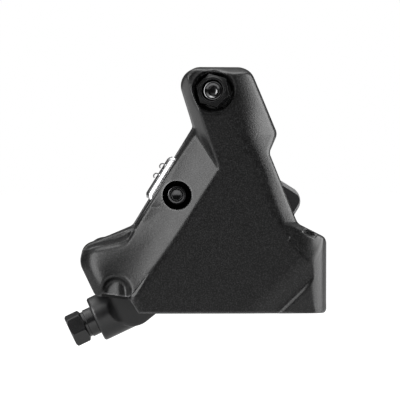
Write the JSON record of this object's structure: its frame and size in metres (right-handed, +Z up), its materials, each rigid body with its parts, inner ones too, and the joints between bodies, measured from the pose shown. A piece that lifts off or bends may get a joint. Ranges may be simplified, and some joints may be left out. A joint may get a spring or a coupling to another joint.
{
  "type": "bicycle disc brake caliper",
  "caption": "Flat mount hydraulic disc brake caliper with opposed pistons, pads, spring, bleed port and a swivelling hose banjo.",
  "frame": {"origin": "midway between the two mount holes, on the mounting face", "axes": "+Z up from the mounting face, +X towards the wheel axle, +Y from the outer side towards the wheel"},
  "size_m": [0.0702, 0.0409, 0.0753],
  "materials": {
    "outer_housing": "satin anodised",
    "inner_housing": "satin anodised",
    "body_bolts": "black oxide",
    "crossover_seal": "matte",
    "outer_piston": "moulded phenolic",
    "inner_piston": "moulded phenolic",
    "outer_piston_seal": "matte",
    "inner_piston_seal": "matte",
    "outer_pad_plate": "blanked steel",
    "inner_pad_plate": "blanked steel",
    "outer_pad_lining": "sintered friction material",
    "inner_pad_lining": "sintered friction material",
    "outer_pad_shim": "dark coating",
    "inner_pad_shim": "dark coating",
    "pad_spring": "bright stainless",
    "pad_pin": "black zinc",
    "pad_pin_clip": "spring steel",
    "bleed_fitting": "black anodised",
    "bleed_fitting_seal": "matte",
    "bleed_screw": "black zinc",
    "bleed_screw_seal": "matte",
    "banjo": "black anodised",
    "banjo_washers": "plain",
    "banjo_bolt": "black zinc",
    "hose_nut": "black anodised",
    "hose_ferrule": "plain brass"
  },
  "bodies": {
    "housing": {"outer_housing": "outer_housing", "inner_housing": "inner_housing", "body_bolts": "body_bolts", "crossover_seal": "crossover_seal", "outer_piston_seal": "outer_piston_seal", "inner_piston_seal": "inner_piston_seal", "pad_spring": "pad_spring", "pad_pin": "pad_pin", "pad_pin_clip": "pad_pin_clip", "bleed_fitting": "bleed_fitting", "bleed_fitting_seal": "bleed_fitting_seal", "bleed_screw_seal": "bleed_screw_seal", "banjo_washers": "banjo_washers", "banjo_bolt": "banjo_bolt"},
    "outer_piston": {"outer_piston": "outer_piston"},
    "inner_piston": {"inner_piston": "inner_piston"},
    "outer_pad": {"outer_pad_plate": "outer_pad_plate", "outer_pad_lining": "outer_pad_lining", "outer_pad_shim": "outer_pad_shim"},
    "inner_pad": {"inner_pad_plate": "inner_pad_plate", "inner_pad_lining": "inner_pad_lining", "inner_pad_shim": "inner_pad_shim"},
    "hose_banjo": {"banjo": "banjo", "hose_nut": "hose_nut", "hose_ferrule": "hose_ferrule"},
    "bleed_screw": {"bleed_screw": "bleed_screw"}
  },
  "joints": [
    {"name": "outer_piston_slide", "type": "slide", "parent": "housing", "child": "outer_piston", "axis": [0, 1, 0], "range_m": [-0.0003, 0.0011]},
    {"name": "inner_piston_slide", "type": "slide", "parent": "housing", "child": "inner_piston", "axis": [0, -1, 0], "range_m": [-0.0003, 0.0011]},
    {"name": "outer_pad_slide", "type": "slide", "parent": "housing", "child": "outer_pad", "axis": [0, 1, 0], "range_m": [-0.0003, 0.0011]},
    {"name": "inner_pad_slide", "type": "slide", "parent": "housing", "child": "inner_pad", "axis": [0, -1, 0], "range_m": [-0.0003, 0.0011]},
    {"name": "banjo_swivel", "type": "hinge", "parent": "housing", "child": "hose_banjo", "pos_m": [-0.02551, 0.013, 0.00556], "axis": [0, 1, 0], "range_deg": [-12, 5]},
    {"name": "bleed_screw_turn", "type": "hinge", "parent": "housing", "child": "bleed_screw", "pos_m": [-0.00873, -0.0085, 0.05906], "axis": [-0.2438, -0.9563, 0.1614], "range_deg": [0, 180]}
  ],
  "couplings": [
    {"joint": "inner_piston_slide", "follows": "outer_piston_slide", "ratio": 1},
    {"joint": "outer_pad_slide", "follows": "outer_piston_slide", "ratio": 1},
    {"joint": "inner_pad_slide", "follows": "outer_piston_slide", "ratio": 1}
  ]
}
